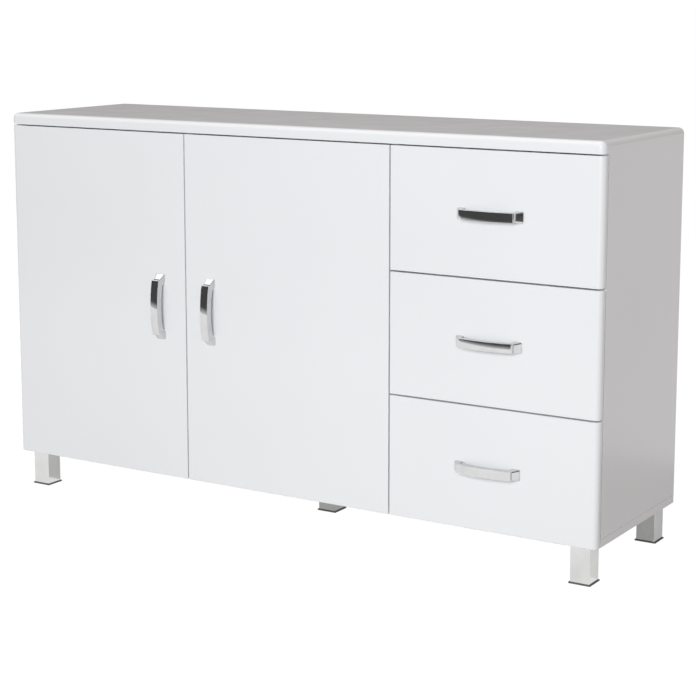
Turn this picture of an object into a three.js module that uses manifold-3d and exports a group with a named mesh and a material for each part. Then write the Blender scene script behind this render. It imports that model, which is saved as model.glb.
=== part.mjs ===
// Sideboard with two hinged doors and three drawers, standing on five square legs.
// Millimetres, +Z up, fronts facing -Y. The origin lies on the floor, under the middle of the
// whole object, handles included.
import * as THREE from 'three';
import { mergeVertices } from 'three/addons/utils/BufferGeometryUtils.js';
import Module from 'manifold-3d';

const wasm = await Module();
wasm.setup();

// ---------------------------------------------------------------- driving dimensions
// Case
const width = 1440;
const height = 855;
const bodyDepth = 386; // faces of the fronts to the rear edges
const topThickness = 25;
const sideThickness = 18;
const bottomThickness = 16;
const partitionThickness = 16;
const shelfThickness = 16;
const edgeRadius = 12; // outer edges of the case and of the fronts
const leftDoorPitch = 480; // left side of the case to the middle of the first seam
const drawerPitch = 456; // right side of the case to the middle of the second seam
const shelfSetback = 15; // shelf edge behind the front edge of the case

// Back
const backThickness = 3;
const backInset = 8; // rear edge of the case to the back panel
const grooveDepth = 8;
const stripThickness = 1; // joining strip of the two back panels
const stripWidth = 16;

// Fronts
const frontThickness = 18;
const easedRadius = 1.5; // vertical edges at the seams
const drawerLevels = ['lower', 'middle', 'upper'];

// Drawer boxes
const boxThickness = 12;
const boxSideHeight = 165;
const boxBackHeight = 145;
const boxRearClearance = 13; // drawer box to the parts behind it
const boxLift = 26; // lower edge of a drawer front to the lower edge of its box
const drawerBottomThickness = 3;
const bottomLift = 10; // lower edge of the box to its bottom panel
const bottomBite = 6; // how far the bottom panel reaches into the box sides
const railRearClearance = 17; // rail end to the parts behind it
const railHeight = 30;
const railDepth = 11.5;
const railSheet = 1.2;
const railSetback = 4; // rail end behind the front edge of the case

// Handles
const handleLength = 142;
const handleProjection = 27; // top of the bow above the front
const handleEndProjection = 21; // ends of the bow above the front
const handleBarWidth = 18;
const handleBarDepth = 14.5;
const handleFootLength = 13;
const handleFootHeight = 14.5;
const handleFootWidth = 22;
const handleSlant = 2; // lean of the foot's end face
const handlePost = 12; // length of the post under each end of the bow
const doorHandleInset = 66; // middle of the seam to the handle on a door
const drawerHandleShift = -6; // drawer handle off the middle of its front

// Hinges
const hingeHeightInset = 100; // door edge to the middle of the nearest hinge
const hingeEdge = 5; // door edge to the pivot axis
const cupDiameter = 35;
const cupDepth = 11.5;
const cupEdge = 23; // door edge to the middle of the cup
const cupWall = 1.4;
const flangeWidth = 20;
const flangeLength = 58;
const flangeThickness = 1;
const armLength = 62;
const armWidth = 15;
const armThickness = 10;
const armPlateLength = 34;
const armPlateWidth = 48;
const armPlateThickness = 3;

// Legs
const legHeight = 80; // floor to the underside of the case
const legWidth = 42;
const legWall = 1.5;
const legSideInset = 21; // side of the case to the leg
const legRearInset = 2; // rear edge of the case to the leg
const legCornerRadius = 2;
const legBoltDiameter = 8;
const footLip = 2; // foot plate beyond the leg
const footThickness = 3;
const footPlugHeight = 10;

// Clearances
const contact = 0.3; // between pieces that touch
const grooveClearance = 1; // edge of the back panel to the bottom of its groove
const frontGap = 2; // back of a front to the case
const seam = 3; // between neighbouring fronts
const topSeam = 2.5; // under the top panel
const shelfClearance = 1; // each end of a shelf
const railGap = 0.9; // rail to the side of the drawer box
const railDrop = 0.5; // underside of the drawer box to the underside of its rail
const armGap = 3; // back of a door to the nose of a hinge arm

// ---------------------------------------------------------------- places
const halfWidth = width / 2;
const totalDepth = bodyDepth + handleProjection;
const frontY = handleProjection - totalDepth / 2;
const backY = totalDepth / 2;
const frontBackY = frontY + frontThickness;
const caseFrontY = frontBackY + frontGap;
const caseFloorZ = legHeight + bottomThickness;
const ceilingZ = height - topThickness;
const sideInnerX = halfWidth - sideThickness;
const backPanelFrontY = backY - backInset - backThickness;
const frontTopZ = ceilingZ - topSeam;
const doorSeamX = -halfWidth + leftDoorPitch;
const drawerSeamX = halfWidth - drawerPitch;
const partitionRearY = backPanelFrontY - stripThickness - 2 * contact;

// ---------------------------------------------------------------- materials
function finish(color, roughness, metalness) {
  return new THREE.MeshStandardMaterial({ color, roughness, metalness });
}
const lacquer = finish(0xf2f3f4, 0.25, 0);
const melamine = finish(0xececea, 0.5, 0);
const hardboard = finish(0xe4e2dd, 0.7, 0);
const chrome = finish(0xd8d9db, 0.08, 1);
const nickel = finish(0xb9bbbd, 0.3, 1);
const coatedSteel = finish(0xe6e6e2, 0.4, 0.2);
const footPlastic = finish(0x3a3a3c, 0.6, 0);

// ---------------------------------------------------------------- shape helpers
function box(x0, x1, y0, y1, z0, z1) {
  const geometry = new THREE.BoxGeometry(x1 - x0, y1 - y0, z1 - z0);
  return geometry.translate((x0 + x1) / 2, (y0 + y1) / 2, (z0 + z1) / 2);
}

function polygon(points) {
  return new THREE.Shape(points.map(([u, v]) => new THREE.Vector2(u, v)));
}

// A rectangle with its own radius at each corner, from the lower left one, anticlockwise.
function roundedRectangle(u0, u1, v0, v1, [r00, r10, r11, r01]) {
  const shape = new THREE.Shape();
  shape.moveTo(u0 + r00, v0);
  shape.lineTo(u1 - r10, v0);
  shape.absarc(u1 - r10, v0 + r10, r10, -Math.PI / 2, 0);
  shape.lineTo(u1, v1 - r11);
  shape.absarc(u1 - r11, v1 - r11, r11, 0, Math.PI / 2);
  shape.lineTo(u0 + r01, v1);
  shape.absarc(u0 + r01, v1 - r01, r01, Math.PI / 2, Math.PI);
  shape.lineTo(u0, v0 + r00);
  shape.absarc(u0 + r00, v0 + r00, r00, Math.PI, 1.5 * Math.PI);
  return shape;
}

function extrude(shape, length, curveSegments = 6) {
  return new THREE.ExtrudeGeometry(shape, { depth: length, bevelEnabled: false, curveSegments });
}

// The shape's own axes become the two axes that are left over, in X, Y, Z order.
function prismX(shape, x0, x1) {
  const turn = new THREE.Matrix4().makeBasis(
    new THREE.Vector3(0, 1, 0),
    new THREE.Vector3(0, 0, 1),
    new THREE.Vector3(1, 0, 0),
  );
  return extrude(shape, x1 - x0).applyMatrix4(turn).translate(x0, 0, 0);
}

function prismY(shape, y0, y1) {
  return extrude(shape, y1 - y0).rotateX(Math.PI / 2).translate(0, y1, 0);
}

function prismZ(shape, z0, z1) {
  return extrude(shape, z1 - z0).translate(0, 0, z0);
}

function solidOf(geometry) {
  const bare = geometry.clone();
  bare.deleteAttribute('normal');
  bare.deleteAttribute('uv');
  const welded = mergeVertices(bare, 1e-3);
  const mesh = new wasm.Mesh({
    numProp: 3,
    vertProperties: welded.attributes.position.array,
    triVerts: Uint32Array.from(welded.index.array),
  });
  return new wasm.Manifold(mesh);
}

function geometryOf(solid) {
  const mesh = solid.getMesh();
  const geometry = new THREE.BufferGeometry();
  geometry.setAttribute('position', new THREE.BufferAttribute(mesh.vertProperties, 3));
  geometry.setIndex(new THREE.BufferAttribute(mesh.triVerts, 1));
  geometry.computeVertexNormals();
  return geometry;
}

function cut(geometry, ...tools) {
  const remove = (solid, tool) => solid.subtract(solidOf(tool));
  return geometryOf(tools.reduce(remove, solidOf(geometry)));
}

function common(geometry, ...others) {
  const meet = (solid, other) => solid.intersect(solidOf(other));
  return geometryOf(others.reduce(meet, solidOf(geometry)));
}

function joined(geometry, ...others) {
  const unite = (solid, other) => solid.add(solidOf(other));
  return geometryOf(others.reduce(unite, solidOf(geometry)));
}

const sideboard = new THREE.Group();

function place(name, geometry, material, parent = sideboard) {
  const mesh = new THREE.Mesh(geometry, material);
  mesh.name = name;
  parent.add(mesh);
  return mesh;
}

function groupAt(x, y, z) {
  const group = new THREE.Group();
  group.position.set(x, y, z);
  sideboard.add(group);
  return group;
}

// ---------------------------------------------------------------- case
// The top and the sides are cut from one rounded outline and meet in a mitre that runs from the
// inner corner to the outer one. In front of the case edge the top keeps its full section,
// because its front edge lies flush with the doors and drawers under it.
function backGroove() {
  return box(
    -sideInnerX - grooveDepth,
    sideInnerX + grooveDepth,
    backPanelFrontY - contact,
    backY - backInset + contact,
    caseFloorZ - grooveDepth,
    ceilingZ + grooveDepth,
  );
}

function roundedCase() {
  const radii = [0, 0, edgeRadius, edgeRadius];
  const outline = roundedRectangle(-halfWidth, halfWidth, caseFloorZ + contact, height, radii);
  return prismY(outline, frontY, backY);
}

function topPanel() {
  const mitreShift = contact / Math.cos(Math.atan2(sideThickness, topThickness));
  const innerX = sideInnerX - mitreShift;
  const outerX = halfWidth - mitreShift;
  const wedge = polygon([
    [-innerX, ceilingZ],
    [innerX, ceilingZ],
    [outerX, height],
    [-outerX, height],
  ]);
  const frontStrip = box(-halfWidth, halfWidth, frontY, caseFrontY - contact, ceilingZ, height);
  const blank = joined(prismY(wedge, frontY, backY), frontStrip);
  const sideView = roundedRectangle(frontY, backY, ceilingZ - 1, height, [0, 0, 0, edgeRadius]);
  const plan = roundedRectangle(-halfWidth, halfWidth, frontY, backY, [edgeRadius, edgeRadius, 0, 0]);
  const rounded = common(
    blank,
    roundedCase(),
    prismX(sideView, -halfWidth, halfWidth),
    prismZ(plan, ceilingZ - 1, height + 1),
  );
  return cut(rounded, backGroove());
}

function sidePanel(sign) {
  const wedge = polygon([
    [sign * sideInnerX, caseFloorZ + contact],
    [sign * halfWidth, caseFloorZ + contact],
    [sign * halfWidth, height],
    [sign * sideInnerX, ceilingZ],
  ]);
  return cut(common(roundedCase(), prismY(wedge, caseFrontY, backY)), backGroove());
}

place('top_panel', topPanel(), lacquer);
place('side_panel_left', sidePanel(-1), lacquer);
place('side_panel_right', sidePanel(1), lacquer);
const bottomBlank = box(-halfWidth, halfWidth, caseFrontY, backY, legHeight, caseFloorZ);
place('bottom_panel', cut(bottomBlank, backGroove()), lacquer);

function partition(name, x) {
  const half = partitionThickness / 2;
  const z0 = caseFloorZ + contact;
  const z1 = ceilingZ - contact;
  place(name, box(x - half, x + half, caseFrontY, partitionRearY, z0, z1), melamine);
}
partition('partition_middle', doorSeamX);
partition('partition_right', drawerSeamX);

// ---------------------------------------------------------------- back
const grooveBite = grooveDepth - grooveClearance;
const backBottomZ = caseFloorZ - grooveBite;
const backTopZ = ceilingZ + grooveBite;
const backEndX = sideInnerX + grooveBite;
const stripWebHalf = stripThickness / 2 + contact;

function backPanel(x0, x1) {
  return box(x0, x1, backPanelFrontY, backPanelFrontY + backThickness, backBottomZ, backTopZ);
}
place('back_panel_left', backPanel(-backEndX, drawerSeamX - stripWebHalf), hardboard);
place('back_panel_right', backPanel(drawerSeamX + stripWebHalf, backEndX), hardboard);

function joiningStrip() {
  const z0 = caseFloorZ + contact;
  const z1 = ceilingZ - contact;
  const frontFlangeY = backPanelFrontY - contact;
  const rearFlangeY = backPanelFrontY + backThickness + contact;
  const halfStrip = stripWidth / 2;
  const left = drawerSeamX - halfStrip;
  const right = drawerSeamX + halfStrip;
  const halfWeb = stripThickness / 2;
  return joined(
    box(left, right, frontFlangeY - stripThickness, frontFlangeY, z0, z1),
    box(left, right, rearFlangeY, rearFlangeY + stripThickness, z0, z1),
    box(drawerSeamX - halfWeb, drawerSeamX + halfWeb, frontFlangeY - contact, rearFlangeY + contact, z0, z1),
  );
}
place('back_joining_strip', joiningStrip(), hardboard);

// ---------------------------------------------------------------- shelves
const shelfMiddleZ = (caseFloorZ + ceilingZ) / 2;

function shelf(name, x0, x1) {
  const geometry = box(
    x0 + shelfClearance,
    x1 - shelfClearance,
    caseFrontY + shelfSetback,
    partitionRearY,
    shelfMiddleZ - shelfThickness / 2,
    shelfMiddleZ + shelfThickness / 2,
  );
  place(name, geometry, melamine);
}
shelf('shelf_left', -sideInnerX, doorSeamX - partitionThickness / 2);
shelf('shelf_right', doorSeamX + partitionThickness / 2, drawerSeamX - partitionThickness / 2);

// ---------------------------------------------------------------- handles
// A bowed bar on two posts, with a wider foot beyond each post. Lies along X and stands out
// towards -Y from the plane y = 0.
function bowPoints(halfLength, endHeight, middleHeight, steps) {
  const rise = middleHeight - endHeight;
  const radius = (halfLength * halfLength + rise * rise) / (2 * rise);
  const halfAngle = Math.asin(halfLength / radius);
  return Array.from({ length: steps + 1 }, (_, i) => {
    const angle = halfAngle * ((2 * i) / steps - 1);
    return [radius * Math.sin(angle), middleHeight - radius * (1 - Math.cos(angle))];
  });
}

function handleGeometry() {
  const half = handleLength / 2;
  const barEnd = half - handleFootLength + handleSlant;
  const gapEnd = barEnd - handlePost;
  const front = bowPoints(barEnd, handleEndProjection, handleProjection, 12);
  const back = bowPoints(
    gapEnd,
    handleEndProjection - handleBarDepth,
    handleProjection - handleBarDepth,
    12,
  );
  const barOutline = [
    [-barEnd, contact],
    ...front,
    [barEnd, contact],
    [gapEnd, contact],
    ...back.reverse(),
    [-gapEnd, contact],
  ];
  const barShape = polygon(barOutline.map(([along, out]) => [along, -out]));
  const bar = prismZ(barShape, -handleBarWidth / 2, handleBarWidth / 2);
  const foot = (sign) => {
    const outline = polygon([
      [sign * (barEnd - handlePost / 2), -contact],
      [sign * half, -contact],
      [sign * (half - handleSlant), -handleFootHeight],
      [sign * (barEnd - handlePost / 2), -handleFootHeight],
    ]);
    return prismZ(outline, -handleFootWidth / 2, handleFootWidth / 2);
  };
  return joined(bar, foot(-1), foot(1));
}

// ---------------------------------------------------------------- doors
function frontGeometry(x0, x1, z0, z1, outer) {
  const radii = [easedRadius, easedRadius, easedRadius, easedRadius];
  if (outer === 'left') {
    radii[0] = edgeRadius;
  }
  if (outer === 'right') {
    radii[1] = edgeRadius;
  }
  return prismZ(roundedRectangle(x0, x1, frontY, frontBackY, radii), z0, z1);
}

const frontBottomZ = legHeight;
const hingeHeights = { upper: frontTopZ - hingeHeightInset, lower: frontBottomZ + hingeHeightInset };

// A cylinder along Y from y0 to y1.
function pegY(x, z, diameter, y0, y1, sides = 24) {
  const geometry = new THREE.CylinderGeometry(diameter / 2, diameter / 2, y1 - y0, sides);
  return geometry.translate(x, (y0 + y1) / 2, z);
}

function cupGeometry(x, z) {
  const bottomY = frontBackY - cupDepth + contact;
  const flangeY = frontBackY + contact;
  const flange = roundedRectangle(
    x - flangeWidth / 2,
    x + flangeWidth / 2,
    z - flangeLength / 2,
    z + flangeLength / 2,
    Array(4).fill(flangeWidth / 4),
  );
  const outside = joined(
    pegY(x, z, cupDiameter - 2 * contact, bottomY, flangeY + flangeThickness),
    prismY(flange, flangeY, flangeY + flangeThickness),
  );
  const bore = cupDiameter - 2 * contact - 2 * cupWall;
  return cut(outside, pegY(x, z, bore, bottomY + cupWall, flangeY + 2 * flangeThickness));
}

// The arm is screwed to the inner face at wallX and stands out from it towards `inward`.
function armGeometry(wallX, inward, z) {
  const start = wallX + inward * contact;
  const plateX = start + inward * armPlateThickness;
  const armX = start + inward * (armPlateThickness + armThickness);
  const noseY = frontBackY + armGap;
  const plateFrontY = noseY + armLength - armPlateLength - (armLength - armPlateLength) / 2;
  const arm = box(
    Math.min(start, armX),
    Math.max(start, armX),
    noseY,
    noseY + armLength,
    z - armWidth / 2,
    z + armWidth / 2,
  );
  const plate = box(
    Math.min(start, plateX),
    Math.max(start, plateX),
    plateFrontY,
    plateFrontY + armPlateLength,
    z - armPlateWidth / 2,
    z + armPlateWidth / 2,
  );
  return joined(arm, plate);
}

function door(side, x0, x1, wallX) {
  const hingeSign = side === 'left' ? -1 : 1;
  const hingeX = side === 'left' ? x0 : x1;
  const cupX = hingeX - hingeSign * cupEdge;
  const pockets = Object.values(hingeHeights).map(
    (z) => pegY(cupX, z, cupDiameter, frontBackY - cupDepth, frontBackY + 1),
  );
  const panel = frontGeometry(x0, x1, frontBottomZ, frontTopZ, side === 'left' ? 'left' : 'none');
  place(`door_${side}_panel`, cut(panel, ...pockets), lacquer);
  for (const [level, z] of Object.entries(hingeHeights)) {
    place(`door_${side}_hinge_cup_${level}`, cupGeometry(cupX, z), nickel);
    place(`door_${side}_hinge_arm_${level}`, armGeometry(wallX, -hingeSign, z), nickel);
  }
  const handleX = doorSeamX + hingeSign * doorHandleInset;
  const spot = groupAt(handleX, frontY, (frontBottomZ + frontTopZ) / 2);
  const handle = place(`door_${side}_handle`, handleGeometry(), chrome, spot);
  handle.rotation.y = Math.PI / 2;
}

door('left', -halfWidth, doorSeamX - seam / 2, -sideInnerX);
door('right', doorSeamX + seam / 2, drawerSeamX - seam / 2, drawerSeamX - partitionThickness / 2);

// ---------------------------------------------------------------- drawers
const drawerX0 = drawerSeamX + seam / 2;
const openingX0 = drawerSeamX + partitionThickness / 2;
const runnerSpace = contact + railDepth + railGap;
const boxX0 = openingX0 + runnerSpace;
const boxX1 = sideInnerX - runnerSpace;
const boxFrontY = frontBackY + contact;
const boxBackY = partitionRearY - boxRearClearance;
const drawerStep = (frontTopZ - frontBottomZ + seam) / drawerLevels.length;

function rail(name, wallX, inward, z0) {
  const u = (distance) => wallX + inward * (contact + distance);
  const outline = polygon([
    [u(0), z0],
    [u(railDepth), z0],
    [u(railDepth), z0 + railSheet],
    [u(railSheet), z0 + railSheet],
    [u(railSheet), z0 + railHeight - railSheet],
    [u(railDepth), z0 + railHeight - railSheet],
    [u(railDepth), z0 + railHeight],
    [u(0), z0 + railHeight],
  ]);
  place(name, prismY(outline, caseFrontY + railSetback, partitionRearY - railRearClearance), coatedSteel);
}

function drawer(index, level) {
  const name = `drawer_${level}`;
  const frontZ0 = frontBottomZ + index * drawerStep;
  const frontZ1 = frontZ0 + drawerStep - seam;
  const boxZ0 = frontZ0 + boxLift;
  const sheetZ0 = boxZ0 + bottomLift;
  const sheetZ1 = sheetZ0 + drawerBottomThickness;
  place(`${name}_front`, frontGeometry(drawerX0, halfWidth, frontZ0, frontZ1, 'right'), lacquer);

  const insideX0 = boxX0 + boxThickness;
  const insideX1 = boxX1 - boxThickness;
  const boxZ1 = boxZ0 + boxSideHeight;
  const groove = box(
    insideX0 - bottomBite - contact,
    insideX1 + bottomBite + contact,
    boxFrontY - contact,
    boxBackY + contact,
    sheetZ0 - contact,
    sheetZ1 + contact,
  );
  const left = box(boxX0, insideX0, boxFrontY, boxBackY, boxZ0, boxZ1);
  const right = box(insideX1, boxX1, boxFrontY, boxBackY, boxZ0, boxZ1);
  const backZ0 = sheetZ1 + contact;
  const backY0 = boxBackY - boxThickness;
  const back = box(insideX0 + contact, insideX1 - contact, backY0, boxBackY, backZ0, backZ0 + boxBackHeight);
  const sheet = box(insideX0 - bottomBite, insideX1 + bottomBite, boxFrontY, boxBackY, sheetZ0, sheetZ1);
  place(`${name}_side_left`, cut(left, groove), melamine);
  place(`${name}_side_right`, cut(right, groove), melamine);
  place(`${name}_back`, back, melamine);
  place(`${name}_bottom`, sheet, hardboard);

  const handleX = (drawerX0 + halfWidth) / 2 + drawerHandleShift;
  const spot = groupAt(handleX, frontY, (frontZ0 + frontZ1) / 2);
  place(`${name}_handle`, handleGeometry(), chrome, spot);
  rail(`rail_${level}_left`, openingX0, 1, boxZ0 - railDrop);
  rail(`rail_${level}_right`, sideInnerX, -1, boxZ0 - railDrop);
}

drawerLevels.forEach((level, index) => drawer(index, level));

// ---------------------------------------------------------------- legs
function legTube() {
  const half = legWidth / 2;
  const inner = half - legWall;
  const z0 = footThickness + contact;
  const z1 = legHeight - contact;
  const section = roundedRectangle(-half, half, -half, half, Array(4).fill(legCornerRadius));
  const bolt = new THREE.CylinderGeometry(legBoltDiameter / 2, legBoltDiameter / 2, legHeight, 12);
  bolt.rotateX(Math.PI / 2).translate(0, 0, legHeight);
  const hollow = box(-inner, inner, -inner, inner, 0, z1 - 2 * legWall);
  return cut(prismZ(section, z0, z1), hollow, bolt);
}

function footPlate() {
  const half = legWidth / 2 + footLip;
  const plug = legWidth / 2 - legWall - contact;
  return joined(
    box(-half, half, -half, half, 0, footThickness),
    box(-plug, plug, -plug, plug, footThickness / 2, footThickness + footPlugHeight),
  );
}

const legX = halfWidth - legSideInset - legWidth / 2;
const legFrontY = caseFrontY + legWidth / 2;
const legRearY = backY - legRearInset - legWidth / 2;
const legPlaces = {
  front_left: [-legX, legFrontY],
  front_right: [legX, legFrontY],
  rear_left: [-legX, legRearY],
  rear_right: [legX, legRearY],
  middle: [0, (legFrontY + legRearY) / 2],
};
for (const [name, [x, y]] of Object.entries(legPlaces)) {
  const leg = groupAt(x, y, 0);
  place(`leg_${name}`, legTube(), chrome, leg);
  place(`foot_plate_${name}`, footPlate(), footPlastic, leg);
}

export default sideboard;
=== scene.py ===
import math

import bmesh
import bpy
from mathutils import Matrix, Vector


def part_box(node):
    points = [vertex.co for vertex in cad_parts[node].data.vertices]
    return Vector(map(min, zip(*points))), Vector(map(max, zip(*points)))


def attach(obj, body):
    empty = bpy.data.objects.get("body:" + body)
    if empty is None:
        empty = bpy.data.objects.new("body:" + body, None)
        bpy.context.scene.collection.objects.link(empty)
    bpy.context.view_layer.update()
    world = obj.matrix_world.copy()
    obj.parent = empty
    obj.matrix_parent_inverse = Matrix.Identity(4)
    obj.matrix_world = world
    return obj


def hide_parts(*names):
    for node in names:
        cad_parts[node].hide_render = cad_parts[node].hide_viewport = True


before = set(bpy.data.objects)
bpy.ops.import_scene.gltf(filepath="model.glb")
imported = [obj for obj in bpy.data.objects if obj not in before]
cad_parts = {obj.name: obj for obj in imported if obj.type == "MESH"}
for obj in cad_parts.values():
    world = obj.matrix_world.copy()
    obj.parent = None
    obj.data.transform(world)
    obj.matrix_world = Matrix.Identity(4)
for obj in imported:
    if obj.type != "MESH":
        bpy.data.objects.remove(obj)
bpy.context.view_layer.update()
scene = bpy.context.scene

# Sideboard with two hinged doors and three drawers on five square chrome legs.
# Metres, +Z up, fronts facing -Y. Every place comes from the frame's own nodes.

MM = 0.001
FULL_TURN = 2 * math.pi
LEVELS = ("lower", "middle", "upper")
HINGE_LEVELS = ("upper", "lower")
SIDES = ("left", "right")

# ---------------------------------------------------------------- sizes
# Edges and joints
EDGE_RADIUS = 12 * MM  # outer edges of the case and of the fronts
EASED_RADIUS = 1.5 * MM  # upper and lower edges of the fronts, lower edge of the top
SEAM_RADIUS = 0.8 * MM  # upright seam edges of the fronts
REAR_RADIUS = 0.6 * MM  # rear upright edges of the fronts
ROUND_STEPS = 14
EASED_STEPS = 4
JOINT_LINE = 0.04 * MM  # what is left open where two lacquered boards are glued
CONTACT = 0.3 * MM  # between pieces that touch
SHARP_ANGLE = math.radians(35)  # edges sharper than this are eased
GROOVE_DEPTH = 8 * MM  # groove for the back panels

# Handle, in its own axes: along the bar, out of the front, across the bar
BAR_WIDTH = 18 * MM
BAR_DEPTH = 14.5 * MM
BAR_END_HEIGHT = 21 * MM
BAR_SHOULDER = 3.2 * MM  # radius where the bow turns down into its post
BAR_CROWN = 0.3 * MM  # how much the middle of the bar stands above its long edges
BOW_STEPS = 40
CROWN_STEPS = 10
POST_LENGTH = 12 * MM
FOOT_LENGTH = 13 * MM
FOOT_BASE = 0.35 * MM  # a hair above the bar's own base
FOOT_RIM = 3 * MM  # height of the foot's upright rim
FOOT_HEIGHT = 14.5 * MM
FOOT_SLANT = 2 * MM  # how far the end of the bar overlaps the foot
FOOT_SLOPE = 10 * MM  # how far its end face slopes back above the rim
FOOT_CHEEK = 2 * MM  # how far its two sides draw in towards its face
FOOT_CORNER = 3 * MM
CORNER_STEPS = 6

# Hinges
CUP_RADIUS = 17.5 * MM
CUP_DEPTH = 11.5 * MM
CUP_SIDES = 144
CUP_SCREW_REACH = 23 * MM  # middle of the cup to each of its screws
PLATE_THICKNESS = 3 * MM
PLATE_SCREW_REACH = 16 * MM  # middle of the plate to each of its screws, up and down
ADJUSTER_REACH = 13 * MM  # middle of the arm to each of its screws, along it

# Runners
ROLLER_DIAMETER = 19 * MM
ROLLER_WIDTH = 6.1 * MM
ROLLER_OFFSET = 3.4 * MM  # outer face of the rail to the roller
ROLLER_RISE = 13.5 * MM  # underside of the rail to the roller's axle
ROLLER_INSET = 16 * MM  # end of the rail or of the box to the axle
RAIL_SHEET = 1.2 * MM
RUNNER_GAP = 0.05 * MM  # drawer side to the profile screwed to it
RUNNER_SHEET = 0.7 * MM
RUNNER_LEG_SHEET = 1.2 * MM
RUNNER_LIFT = 0.5 * MM  # underside of the rail to the underside of the profile
RUNNER_HEIGHT = 26 * MM
RUNNER_LEG = 8 * MM  # how far the runner's leg reaches into the rail
RUNNER_FRONT_INSET = 6 * MM
RUNNER_REAR_INSET = 2 * MM

# Fittings
HANDLE_SCREW = 8.5 * MM
BOARD_SCREW = 7 * MM
BOX_SCREW = 6.5 * MM
ADJUSTER_SCREW = 6 * MM
BOX_SCREW_INSET = 6 * MM  # rear end of the drawer side to its screws
BOX_SCREW_RISES = (60 * MM, 130 * MM)
RAIL_SCREW_FRONT = 55 * MM  # front end of the rail to its first screw
RAIL_SCREW_REAR = 60 * MM  # rear end of the rail to its last screw
PIN_DIAMETER = 5 * MM
PIN_PITCH = 32 * MM
PIN_COLUMN_INSET = 40 * MM  # edge of the case or back panel to the column of holes
SLEEVE_STEPS = (*range(-5, 0), *range(1, 6))  # holes below and above the pin
CAP_DIAMETER = 17 * MM
CAP_INSET_Y = 70 * MM
CAP_INSET_Z = 34 * MM
BUMPER_DIAMETER = 5.6 * MM
BUMPER_THICKNESS = 1.5 * MM
BUMPER_INSET = 14 * MM
BUMPER_REACH = 3.5 * MM  # inner edge of a front to its bumpers
SIDE_BUMPER_REACH = 8 * MM  # inner face of the case's side to the bumpers over its edge


# ---------------------------------------------------------------- camera
def make_camera():
    """Stands in front, to the right, a little above the top, and looks slightly down."""
    down, turn = 0.15926, 0.55743
    data = bpy.data.cameras.new("camera")
    data.sensor_width = 36.0
    data.lens = 93.9
    data.shift_y = -0.10
    data.clip_start = 0.05
    data.clip_end = 6000.0
    camera = bpy.data.objects.new("camera", data)
    camera.location = (2.0714, -3.2339, 1.1331)
    camera.rotation_euler = (math.pi / 2 - down, 0.0, turn)
    scene.collection.objects.link(camera)
    scene.camera = camera


# ---------------------------------------------------------------- shader helpers
NOISE_LOW, NOISE_HIGH = 0.3, 0.7  # the part of the noise's range that is used


def start_material(name, metallic=0.0):
    material = bpy.data.materials.new(name)
    material.use_nodes = True
    tree = material.node_tree
    shader = tree.nodes["Principled BSDF"]
    shader.inputs["Metallic"].default_value = metallic
    return material, tree, shader


def grain(tree, scale, detail=2.0, stretch=(1, 1, 1)):
    """Noise in the piece's own metres; stretch squeezes it along an axis."""
    where = tree.nodes.new("ShaderNodeTexCoord")
    mapping = tree.nodes.new("ShaderNodeMapping")
    mapping.inputs["Scale"].default_value = stretch
    noise = tree.nodes.new("ShaderNodeTexNoise")
    noise.inputs["Scale"].default_value = scale
    noise.inputs["Detail"].default_value = detail
    tree.links.new(where.outputs["Object"], mapping.inputs["Vector"])
    tree.links.new(mapping.outputs["Vector"], noise.inputs["Vector"])
    return noise.outputs["Fac"]


def spread(tree, source, low, high):
    """Turns a noise value into a number from low to high."""
    node = tree.nodes.new("ShaderNodeMapRange")
    node.inputs["From Min"].default_value = NOISE_LOW
    node.inputs["From Max"].default_value = NOISE_HIGH
    node.inputs["To Min"].default_value = low
    node.inputs["To Max"].default_value = high
    tree.links.new(source, node.inputs["Value"])
    return node.outputs["Result"]


def tones(tree, source, dark, light):
    """A colour from dark to light as the noise rises."""
    node = tree.nodes.new("ShaderNodeValToRGB")
    ends = ((NOISE_LOW, dark), (NOISE_HIGH, light))
    for element, (position, tone) in zip(node.color_ramp.elements, ends):
        element.position = position
        element.color = (*tone, 1.0)
    tree.links.new(source, node.inputs["Fac"])
    return node.outputs["Color"]


def relief(tree, shader, source, height, strength):
    """Bumps of the given height."""
    node = tree.nodes.new("ShaderNodeBump")
    node.inputs["Strength"].default_value = strength
    node.inputs["Distance"].default_value = height
    tree.links.new(source, node.inputs["Height"])
    tree.links.new(node.outputs["Normal"], shader.inputs["Normal"])


def colour(tree, shader, source):
    tree.links.new(source, shader.inputs["Base Color"])


def roughness(tree, shader, source):
    tree.links.new(source, shader.inputs["Roughness"])


# ---------------------------------------------------------------- materials
def white_lacquer():
    """Sprayed semi-gloss lacquer: even white, faint orange peel."""
    material, tree, shader = start_material("white_lacquer")
    colour(tree, shader, tones(tree, grain(tree, 3.0), (0.872, 0.876, 0.880), (0.886, 0.890, 0.894)))
    roughness(tree, shader, spread(tree, grain(tree, 14.0, 1.0), 0.24, 0.27))
    relief(tree, shader, grain(tree, 380.0, 0.0), 0.01 * MM, 0.12)
    shader.inputs["Coat Weight"].default_value = 0.15
    shader.inputs["Coat Roughness"].default_value = 0.15
    return material


def white_melamine():
    """Melamine-faced board: satin, with the fine pressed grain of the foil."""
    material, tree, shader = start_material("white_melamine")
    colour(tree, shader, tones(tree, grain(tree, 9.0), (0.80, 0.80, 0.785), (0.85, 0.85, 0.84)))
    roughness(tree, shader, spread(tree, grain(tree, 60.0, 4.0), 0.42, 0.55))
    relief(tree, shader, grain(tree, 900.0, 3.0), 0.06 * MM, 0.4)
    return material


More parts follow.
